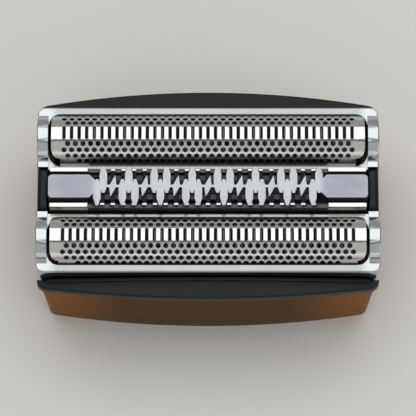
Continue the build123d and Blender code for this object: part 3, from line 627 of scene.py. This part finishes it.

# Chromed ABS: a silver mirror, softened by the waviness of the moulding and by fine rub marks along it.
# The caps are coloured brighter than the rails: a painted highlight for their white reflections.
RAIL_DARK, RAIL_LIGHT, CAP_PAINTED_HIGHLIGHT = "#9A9E9E", "#A8ACAC", "#C0C4C4"
RUB_LOW, RUB_HIGH = 0.35, 0.75
RUB_SMOOTH, RUB_ROUGH = 0.15, 0.24
RUB_LENGTH, RUB_WIDTH = 5.0, 0.3
CHROME_WAVE, CHROME_WAVE_DEPTH = 2.5, 0.001
BRIGHT_START, BRIGHT_END = 22.6, 24.4
chrome_abs, shader = new_material("chromed_abs", Metallic=1)
surface = add_node(chrome_abs, "ShaderNodeTexCoord").outputs["Object"]
waves = add_node(
    chrome_abs, "ShaderNodeTexNoise", Vector=surface, Scale=1 / (CHROME_WAVE * MM), Detail=2
).outputs["Fac"]
lines = [1 / (RUB_LENGTH * MM)] + 2 * [1 / (RUB_WIDTH * MM)]
stretched = add_node(chrome_abs, "ShaderNodeMapping", Vector=surface, Scale=lines).outputs[0]
rubs = add_node(chrome_abs, "ShaderNodeTexNoise", Vector=stretched, Scale=1, Detail=3).outputs["Fac"]
sheen = add_node(
    chrome_abs, "ShaderNodeMapRange", Value=rubs, From_Min=RUB_LOW, From_Max=RUB_HIGH,
    To_Min=RUB_SMOOTH, To_Max=RUB_ROUGH,
)
along = add_node(chrome_abs, "ShaderNodeSeparateXYZ", Vector=surface).outputs["X"]
from_middle = add_node(chrome_abs, "ShaderNodeMath", {"operation": "ABSOLUTE"}, along).outputs[0]
# Painted highlight: towards the ends the chrome takes a whiter colour.
cap = add_node(
    chrome_abs, "ShaderNodeMapRange", {"interpolation_type": "SMOOTHSTEP"},
    Value=from_middle, From_Min=BRIGHT_START * MM, From_Max=BRIGHT_END * MM,
).outputs["Result"]
rail = add_node(
    chrome_abs, "ShaderNodeMixRGB", Fac=waves, Color1=linear(RAIL_DARK), Color2=linear(RAIL_LIGHT)
)
chrome = add_node(chrome_abs, "ShaderNodeMixRGB", Fac=cap, Color1=rail.outputs[0], Color2=linear(CAP_PAINTED_HIGHLIGHT))
skin = add_node(chrome_abs, "ShaderNodeBump", Height=waves, Strength=1, Distance=CHROME_WAVE_DEPTH * MM)
wire(chrome_abs, shader, Base_Color=chrome.outputs[0], Roughness=sheen.outputs["Result"],
     Normal=skin.outputs[0])


def end_cap():
    """The right cap, from its arched inner face outwards."""
    bm = bmesh.new()
    rise = RAIL_TOP - FOIL_AXIS_Z
    shoulder_y = math.sqrt(FOIL_RADIUS**2 - rise**2)
    first = bm.verts.new((cap_inner_x, -shoulder_y, RAIL_TOP))
    arch = 2 * math.acos(rise / FOIL_RADIUS)
    bmesh.ops.spin(
        bm, geom=[first], cent=(0, 0, FOIL_AXIS_Z), axis=(1, 0, 0), angle=-arch, steps=ARCH_STEPS,
        use_merge=False, use_duplicate=False,
    )
    outline = sorted(bm.verts, key=lambda v: v.co.y)
    shoulders = [(INNER_REACH, RAIL_TOP), (INNER_REACH, RAIL_BOTTOM), (-OUTER_REACH, RAIL_BOTTOM),
                 (-OUTER_REACH, RAIL_TOP)]
    outline += [bm.verts.new((cap_inner_x, y, z)) for y, z in shoulders]
    bm.faces.new(outline)
    extruded(bm, bm.faces[:], (CAP_THICKNESS, 0, 0))
    return bm


def draw_rails(bm):
    """Draws both rails out of the cap's inner face, through a fillet, to the middle of the head."""
    turns = [i / FILLET_STEPS * math.pi / 2 for i in range(FILLET_STEPS + 1)]
    steps = [FRAME_FILLET_Y + FRAME_FILLET * math.sin(turn) for turn in turns]
    inner_face = picked(bm, x=around(cap_inner_x))
    inner_face = sliced(bm, inner_face, 1, *[side * y for side in (-1, 1) for y in steps])
    sliced(bm, inner_face, 2, INNER_RAIL_TOP, RAIL_TOP)
    outer_rail = ((-OUTER_REACH, -FRAME_FILLET_Y), RAIL_TOP)
    inner_rail = ((FRAME_FILLET_Y, INNER_REACH), INNER_RAIL_TOP)
    for rail_y, top in (outer_rail, inner_rail):
        web = picked(bm, x=around(cap_inner_x), y=rail_y, z=(RAIL_BOTTOM, top))
        for v in extruded(bm, web, (0, 0, 0)):
            reach = min(FRAME_FILLET, max(0, abs(v.co.y) - FRAME_FILLET_Y))
            v.co.x -= FRAME_FILLET - math.sqrt(FRAME_FILLET**2 - reach**2)
        bmesh.ops.remove_doubles(bm, verts=bm.verts, dist=WELD)
        rail_end = picked(bm, x=around(cap_inner_x - FRAME_FILLET), y=rail_y, z=(RAIL_BOTTOM, top))
        extruded(bm, rail_end, (FRAME_FILLET - cap_inner_x, 0, 0))


def mirrored(bm, axis):
    """Adds the other half across the middle of the head, joined where the halves meet."""
    half = [*bm.verts, *bm.edges, *bm.faces]
    bmesh.ops.mirror(bm, geom=half, matrix=Matrix.Identity(4), merge_dist=NEAR, axis=axis)


def foil_frame():
    """Half a frame about the foil's centreline, mirrored across the middle of the head."""
    bm = end_cap()
    draw_rails(bm)
    corner = [e for e in bm.edges if all(v.co.x > frame_high.x - NEAR and v.co.y < -OUTER_REACH + NEAR
                                         for v in e.verts)]
    rounded(bm, corner, FRAME_CORNER, 5)

    skirt_x = frame_high.x - CAP_SKIRT_THICKNESS
    underside = picked(bm, x=(cap_inner_x, frame_high.x), z=around(RAIL_BOTTOM))
    sliced(bm, underside, 0, skirt_x)
    cap_skirt = picked(bm, x=(skirt_x, frame_high.x), z=around(RAIL_BOTTOM))
    extruded(bm, cap_skirt, (0, 0, frame_low.z - RAIL_BOTTOM))
    flange_z = (RAIL_BOTTOM, RAIL_BOTTOM + FLANGE_HEIGHT)
    rail_side = picked(bm, x=(0, cap_inner_x), y=around(-OUTER_REACH))
    rail_side = sliced(bm, rail_side, 2, flange_z[1])
    sliced(bm, rail_side, 0, FLANGE_HALF_LENGTH)
    flange = picked(bm, x=(0, FLANGE_HALF_LENGTH), y=around(-OUTER_REACH), z=flange_z)
    extruded(bm, flange, (0, -FLANGE, 0))

    bmesh.ops.delete(bm, geom=picked(bm, x=around(0)), context="FACES")
    mirrored(bm, "X")
    bmesh.ops.recalc_face_normals(bm, faces=bm.faces)

    def outside(v):
        """Whether a vertex is on the outer side of a cap, of the outer rail or of their corner."""
        past_cap, past_rail = abs(v.co.x) - frame_high.x + NEAR, -v.co.y - OUTER_REACH + NEAR
        return max(past_cap, past_rail) > 0 or min(past_cap, past_rail) > -FRAME_CORNER

    outer_rim = [e for e in sharp_edges(bm) if all(outside(v) and v.co.z > RAIL_TOP - NEAR for v in e.verts)]
    rounded(bm, outer_rim, CAP_EDGE, 4)
    rounded(bm, sharp_edges(bm, STEEP_ANGLE), FRAME_EDGE)
    return bm


for side, place in SIDES.items():
    finish_piece(f"{side}_chrome_frame", foil_frame(), chrome_abs, f"{side}_foil_unit",
                 f"{side}_foil_frame", place)

# Trimmer: a fixed guard with pointed fingers over a moving comb, between two bright side strips.
# Guard and comb are stamped from stainless strip, the side strips from nickel silver, and all are
# tumbled so that their edges are soft. A frame of acetal carries them.
GUARD_EDGE, COMB_EDGE, SIDE_STRIP_EDGE, TRIM_FRAME_EDGE = 0.07, 0.06, 0.08, 0.12

# Blasted stainless steel: a fine matt lavender grey, lighter on the fingers, with a painted highlight along
# its edges and walls in a whiter colour. The grit of the blasting is drawn coarser than it is, so that it
# shows.
PLATE_GREY, FINGER_GREY, EDGE_PAINTED_HIGHLIGHT = "#A0A2AC", "#BEC1C6", "#EEF0F2"
BLASTED_ROUGH, EDGE_HIGHLIGHT_SMOOTH = 0.48, 0.3
FLAT_UPWARD, EDGE_UPWARD = 0.99, 0.9
PLATE_START, FINGER_START = 17.8, 16.8
GRIT, GRIT_DEPTH, GRIT_STRENGTH = 0.2, 0.008, 0.6
blasted_steel, shader = new_material("blasted_steel", Metallic=1)
surface = add_node(blasted_steel, "ShaderNodeTexCoord").outputs["Object"]
grit = add_node(
    blasted_steel, "ShaderNodeTexNoise", Vector=surface, Scale=1 / (GRIT * MM), Detail=2
).outputs["Fac"]
along = add_node(blasted_steel, "ShaderNodeSeparateXYZ", Vector=surface).outputs["X"]
from_middle = add_node(blasted_steel, "ShaderNodeMath", {"operation": "ABSOLUTE"}, along).outputs[0]
finger = add_node(
    blasted_steel, "ShaderNodeMapRange", Value=from_middle,
    From_Min=PLATE_START * MM, From_Max=FINGER_START * MM,
).outputs["Result"]
plain = add_node(
    blasted_steel, "ShaderNodeMixRGB", Fac=finger, Color1=linear(PLATE_GREY), Color2=linear(FINGER_GREY)
)
facing = add_node(blasted_steel, "ShaderNodeNewGeometry").outputs["Normal"]
upward = add_node(blasted_steel, "ShaderNodeSeparateXYZ", Vector=facing).outputs["Z"]
# Painted highlight: faces that tilt away from straight up take a whiter, smoother colour.
painted_edge_highlight = add_node(
    blasted_steel, "ShaderNodeMapRange", Value=upward, From_Min=FLAT_UPWARD, From_Max=EDGE_UPWARD
).outputs["Result"]
steel = add_node(
    blasted_steel, "ShaderNodeMixRGB", Fac=painted_edge_highlight, Color1=plain.outputs[0], Color2=linear(EDGE_PAINTED_HIGHLIGHT)
)
matt = add_node(
    blasted_steel, "ShaderNodeMapRange", Value=painted_edge_highlight, To_Min=BLASTED_ROUGH, To_Max=EDGE_HIGHLIGHT_SMOOTH
)
skin = add_node(
    blasted_steel, "ShaderNodeBump", Height=grit, Strength=GRIT_STRENGTH, Distance=GRIT_DEPTH * MM
)
wire(blasted_steel, shader, Base_Color=steel.outputs[0], Roughness=matt.outputs["Result"],
     Normal=skin.outputs[0])
finish_piece("trim_guard", softened("trimmer_guard", GUARD_EDGE), blasted_steel, "trimmer_unit",
             "trimmer_guard")

# Comb steel: the moving comb is coloured near black as painted shade, and bright only on its ground tips.
COMB_PAINTED_SHADE, GROUND_TIP = "#26272A", "#E2E4E6"
SHADED_COMB_ROUGH, TIP_SMOOTH = 0.5, 0.25
TIP_START, TIP_END = 2.55, 2.7
shade_dark_steel, shader = new_material("shade_darkened_steel", Metallic=1)
surface = add_node(shade_dark_steel, "ShaderNodeTexCoord").outputs["Object"]
across = add_node(shade_dark_steel, "ShaderNodeSeparateXYZ", Vector=surface).outputs["Y"]
reach = add_node(shade_dark_steel, "ShaderNodeMath", {"operation": "ABSOLUTE"}, across).outputs[0]
tip = add_node(
    shade_dark_steel, "ShaderNodeMapRange", Value=reach, From_Min=TIP_START * MM, From_Max=TIP_END * MM
).outputs["Result"]
# Painted shade: all but the tips take the near black colour, for the shade under the guard.
steel = add_node(shade_dark_steel, "ShaderNodeMixRGB", Fac=tip, Color1=linear(COMB_PAINTED_SHADE), Color2=linear(GROUND_TIP))
matt = add_node(shade_dark_steel, "ShaderNodeMapRange", Value=tip, To_Min=SHADED_COMB_ROUGH, To_Max=TIP_SMOOTH)
wire(shade_dark_steel, shader, Base_Color=steel.outputs[0], Roughness=matt.outputs["Result"])
finish_piece("trim_blade", softened("trimmer_blade", COMB_EDGE), shade_dark_steel, "trimmer_blade_unit",
             "trimmer_blade")

# Nickel silver: the side strips have bright ivory pads beside the end plates, where they are polished,
# and a dull run along the comb.
DULL_RUN, IVORY_PAD = "#5C5C5E", "#EAE8DE"
RUN_ROUGH, PAD_SMOOTH = 0.5, 0.28
PAD_START = 18.2
nickel_silver, shader = new_material("nickel_silver", Metallic=1)
surface = add_node(nickel_silver, "ShaderNodeTexCoord").outputs["Object"]
along = add_node(nickel_silver, "ShaderNodeSeparateXYZ", Vector=surface).outputs["X"]
from_middle = add_node(nickel_silver, "ShaderNodeMath", {"operation": "ABSOLUTE"}, along).outputs[0]
pad = add_node(
    nickel_silver, "ShaderNodeMapRange", Value=from_middle,
    From_Min=(PAD_START - NEAR) * MM, From_Max=(PAD_START + NEAR) * MM,
).outputs["Result"]
metal = add_node(
    nickel_silver, "ShaderNodeMixRGB", Fac=pad, Color1=linear(DULL_RUN), Color2=linear(IVORY_PAD)
)
sheen = add_node(nickel_silver, "ShaderNodeMapRange", Value=pad, To_Min=RUN_ROUGH, To_Max=PAD_SMOOTH)
wire(nickel_silver, shader, Base_Color=metal.outputs[0], Roughness=sheen.outputs["Result"])
finish_piece("trim_rails", softened("trimmer_rails", SIDE_STRIP_EDGE), nickel_silver, "trimmer_unit",
             "trimmer_rails")
finish_piece("trim_frame", softened("trimmer_frame", TRIM_FRAME_EDGE), acetal, "trimmer_unit",
             "trimmer_frame")
dress(acetal, "trimmer_slider")

# Bezel aprons: the black ledges along both sides, crowned and bowed, with a raised rim at the opening.
# They are moulded in satin ABS and pushed into the lower housing, where their guide walls stop the frames.
APRON_COLUMNS = 14
RIM_WIDTH, RIM_HEIGHT = 0.5, 0.4
RIM_HALF_LENGTH = 24.4
GUIDE_HALF_LENGTH, GUIDE_WALL, GUIDE_BOTTOM = 15.0, 0.7, 13.5
APRON_EDGE = 0.7
BEZEL_EDGE = 0.15


def ledges():
    """Half of the front apron, mirrored along and across the head."""
    bm = bmesh.new()
    bmesh.ops.create_grid(bm, x_segments=APRON_COLUMNS, y_segments=1, size=0.5)
    bmesh.ops.translate(bm, verts=bm.verts, vec=(0.5, -0.5, 0))
    for v in bm.verts:
        outer = bezel_half_y + SIDE_BOW * (1 - v.co.x**2)
        v.co = (v.co.x * bezel_half_x, -outer if v.co.y < -0.5 else -CHANNEL_Y, bezel_top)
    corner = [v for v in bm.verts if v.co.x > bezel_half_x - NEAR and v.co.y < -CHANNEL_Y - NEAR]
    bmesh.ops.bevel(
        bm, geom=corner, offset=CORNER_RADIUS, segments=6, profile=0.5, affect="VERTICES", material=-1
    )
    faces = sliced(bm, bm.faces[:], 0, GUIDE_HALF_LENGTH, RIM_HALF_LENGTH)
    sliced(bm, faces, 1, -CHANNEL_Y - RIM_WIDTH, -CHANNEL_Y - GUIDE_WALL)
    extruded(bm, bm.faces[:], (0, 0, -LIP_HEIGHT))
    for v in bm.verts:
        v.co.z -= crown_drop(v.co.x / bezel_half_x)

    above = (bezel_top - CROWN - NEAR, bezel_top + NEAR)
    below = (parting_z - CROWN - NEAR, parting_z + NEAR)
    rim = picked(bm, x=(0, RIM_HALF_LENGTH), y=(-CHANNEL_Y - RIM_WIDTH, -CHANNEL_Y - NEAR), z=above)
    extruded(bm, rim, (0, 0, RIM_HEIGHT))
    guide = picked(bm, x=(0, GUIDE_HALF_LENGTH), y=(-CHANNEL_Y - GUIDE_WALL, -CHANNEL_Y - NEAR), z=below)
    for v in extruded(bm, guide, (0, 0, 0)):
        v.co.z = GUIDE_BOTTOM

    bmesh.ops.delete(bm, geom=picked(bm, x=around(0)), context="FACES")
    for axis in ("X", "Y"):
        mirrored(bm, axis)
    bmesh.ops.recalc_face_normals(bm, faces=bm.faces)

    def on_lip(v):
        return abs(v.co.z - bezel_top + crown_drop(v.co.x / bezel_half_x)) < NEAR

    def at_opening(edge):
        return all(abs(v.co.y) < CHANNEL_Y + RIM_WIDTH + NEAR for v in edge.verts)

    lip = [e for e in sharp_edges(bm) if all(on_lip(v) for v in e.verts) and not at_opening(e)]
    rounded(bm, lip, APRON_EDGE, 4)
    rounded(bm, sharp_edges(bm, STEEP_ANGLE), BEZEL_EDGE, 2)
    return bm


# Satin ABS from a spark-eroded tool: near black, with a fine grain that breaks up the light. The grain is
# drawn at twice its size, so that it shows.
BLACK_DARK, BLACK_LIGHT = "#0C0E11", "#161A1E"
BLACK_SMOOTH, BLACK_ROUGH, BLACK_SPECULAR = 0.32, 0.52, 0.25
ERODED_GRAIN, ERODED_DEPTH, ERODED_STRENGTH = 0.25, 0.008, 0.5
black_abs, shader = new_material("satin_black_abs", Specular_IOR_Level=BLACK_SPECULAR)
surface = add_node(black_abs, "ShaderNodeTexCoord").outputs["Object"]
grain = add_node(
    black_abs, "ShaderNodeTexNoise", Vector=surface, Scale=1 / (ERODED_GRAIN * MM), Detail=3
).outputs["Fac"]
black = add_node(
    black_abs, "ShaderNodeMixRGB", Fac=grain, Color1=linear(BLACK_DARK), Color2=linear(BLACK_LIGHT)
)
satin = add_node(black_abs, "ShaderNodeMapRange", Value=grain, To_Min=BLACK_SMOOTH, To_Max=BLACK_ROUGH)
skin = add_node(
    black_abs, "ShaderNodeBump", Height=grain, Strength=ERODED_STRENGTH, Distance=ERODED_DEPTH * MM
)
wire(black_abs, shader, Base_Color=black.outputs[0], Roughness=satin.outputs["Result"],
     Normal=skin.outputs[0])
finish_piece("aprons", ledges(), black_abs, "housing", "bezel_aprons")

# End posts: two black pillars between the end caps, set into the end walls of the lower housing.
# They are moulded in the aprons' ABS, and a groove in each guides the trimmer up and down.
POST_CORNER = 0.8
GROOVE_HALF_WIDTH, GROOVE_DEPTH, GROOVE_LOW, GROOVE_HIGH = 1.1, 0.6, 14.9, 18.3
post_low, post_high = node_box("end_posts")


def pillars():
    """The right post, mirrored across the middle of the head."""
    bm = bmesh.new()
    bmesh.ops.create_grid(bm, x_segments=1, y_segments=1, size=1)
    for v in bm.verts:
        v.co = (post_high.x if v.co.x > 0 else RIM_HALF_LENGTH, v.co.y * post_high.y, post_low.z)
    extruded(bm, bm.faces[:], (0, 0, post_high.z - post_low.z))
    inner = picked(bm, x=around(RIM_HALF_LENGTH))
    inner = sliced(bm, inner, 1, -GROOVE_HALF_WIDTH, GROOVE_HALF_WIDTH)
    sliced(bm, inner, 2, GROOVE_LOW, GROOVE_HIGH)
    groove = picked(bm, x=around(RIM_HALF_LENGTH), y=around(0), z=(GROOVE_LOW, GROOVE_HIGH))
    extruded(bm, groove, (GROOVE_DEPTH, 0, 0))
    shoulders = [e for e in bm.edges if all(abs(v.co.y) > post_high.y - NEAR and v.co.z > post_high.z - NEAR
                                            for v in e.verts)]
    rounded(bm, shoulders, POST_CORNER, 6)
    bmesh.ops.recalc_face_normals(bm, faces=bm.faces)
    rounded(bm, sharp_edges(bm, STEEP_ANGLE), BEZEL_EDGE, 2)
    mirrored(bm, "X")
    return bm


finish_piece("posts", pillars(), black_abs, "housing", "end_posts")

# Stage: a pale floor, soft studio light and the camera at the photograph's angle.
# The softboxes are wide, so that the arched metal mirrors them as even bands. Sizes are in metres here.
FLOOR_HALF_SIZE, FLOOR_COLOUR, FLOOR_ROUGHNESS = 2, "#E4E2DC", 0.6
SKY_COLOUR, SKY_STRENGTH = "#C8CCD0", 0.22
SOFTBOXES = {
    # name: direction from the head, distance, width, height, radiance
    "overhead": ((0, 0.34, 0.94), 0.45, 0.65, 0.48, 1.5),
    "front": ((0, -0.68, 0.73), 0.5, 1.0, 0.49, 0.45),
    "low_front": ((0, -0.96, 0.28), 0.5, 0.9, 0.16, 0.75),
    "rear": ((0, 0.94, 0.34), 0.5, 0.9, 0.36, 0.26),
    "right": ((0.85, -0.45, 0.35), 0.5, 0.25, 0.25, 1.5),
    "left": ((-0.9, -0.3, 0.4), 0.5, 0.25, 0.25, 0.6),
}
CAMERA_ELEVATION = math.radians(70)
CAMERA_DISTANCE = 0.55
FRAME_WIDTH = 0.064
SENSOR_WIDTH = 36
head_middle = Vector((0, 0, 0.011))

floor_mesh = bpy.data.meshes.new("floor")
bm = bmesh.new()
bmesh.ops.create_grid(bm, x_segments=1, y_segments=1, size=FLOOR_HALF_SIZE)
bm.to_mesh(floor_mesh)
bm.free()
floor_paint = new_material("pale_floor", Base_Color=linear(FLOOR_COLOUR), Roughness=FLOOR_ROUGHNESS)[0]
floor_mesh.materials.append(floor_paint)
floor = bpy.data.objects.new("floor", floor_mesh)
bpy.context.scene.collection.objects.link(floor)

world = bpy.data.worlds.new("studio")
world.use_nodes = True
world.node_tree.nodes["Background"].inputs["Color"].default_value = linear(SKY_COLOUR)
world.node_tree.nodes["Background"].inputs["Strength"].default_value = SKY_STRENGTH
bpy.context.scene.world = world


def aimed(name, data, direction, distance):
    """Puts a light or the camera at a distance from the middle of the head, looking at it."""
    away = Vector(direction).normalized()
    aimed_object = bpy.data.objects.new(name, data)
    aimed_object.location = head_middle + away * distance
    aimed_object.rotation_euler = (-away).to_track_quat("-Z", "Y").to_euler()
    bpy.context.scene.collection.objects.link(aimed_object)
    return aimed_object


for name, (direction, distance, width, height, radiance) in SOFTBOXES.items():
    light = bpy.data.lights.new(name, "AREA")
    light.shape = "RECTANGLE"
    light.size, light.size_y = width, height
    light.energy = radiance * math.pi * width * height
    aimed(name, light, direction, distance)
bpy.context.scene.view_settings.view_transform = "Standard"

camera_data = bpy.data.cameras.new("camera")
camera_data.sensor_width = SENSOR_WIDTH
camera_data.lens = SENSOR_WIDTH * CAMERA_DISTANCE / FRAME_WIDTH
view = (0, -math.cos(CAMERA_ELEVATION), math.sin(CAMERA_ELEVATION))
bpy.context.scene.camera = aimed("camera", camera_data, view, CAMERA_DISTANCE)
